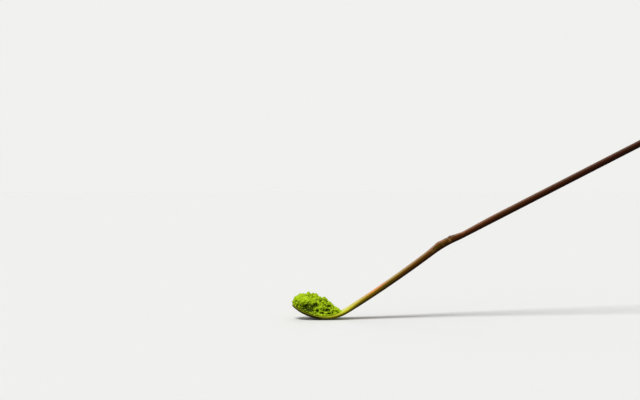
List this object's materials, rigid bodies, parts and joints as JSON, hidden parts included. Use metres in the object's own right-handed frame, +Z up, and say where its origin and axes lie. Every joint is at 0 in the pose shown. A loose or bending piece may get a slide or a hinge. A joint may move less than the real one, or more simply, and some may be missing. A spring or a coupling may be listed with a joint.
{
  "type": "tea scoop",
  "caption": "Slim bent bamboo tea scoop: a shallow round-tipped bowl with a heap of powdered green tea, a bevelled shaft with a node ridge, and a straight handle with a flat back.",
  "frame": {"origin": "on the flat back of the handle, at the place where it leans when the scoop is put down loaded, in the middle of the strip's width", "axes": "+Z up in the pose that keeps the bowl and its tea level; +X along the scoop, seen from above, from the bowl towards the handle's end; +Y across the strip. The XZ plane is the strip's plane of symmetry"},
  "size_m": [0.1644, 0.0104, 0.0842],
  "materials": {
    "bamboo_bowl": "satin",
    "bamboo_shaft": "satin",
    "bamboo_node": "satin",
    "tea": "matt powder"
  },
  "bodies": {
    "scoop": {"scoop_bowl": "bamboo_bowl", "lower_shaft": "bamboo_shaft", "bamboo_node": "bamboo_node", "sheath_scar": "bamboo_node", "upper_shaft": "bamboo_shaft"},
    "tea": {"tea_mound": "tea", "tea_clumps": "tea", "tea_crumbs": "tea"}
  },
  "joints": [
    {"name": "tea_lift_off", "type": "slide", "parent": "scoop", "child": "tea", "axis": [0, 0, 1], "range_m": [0, 0.025]}
  ]
}
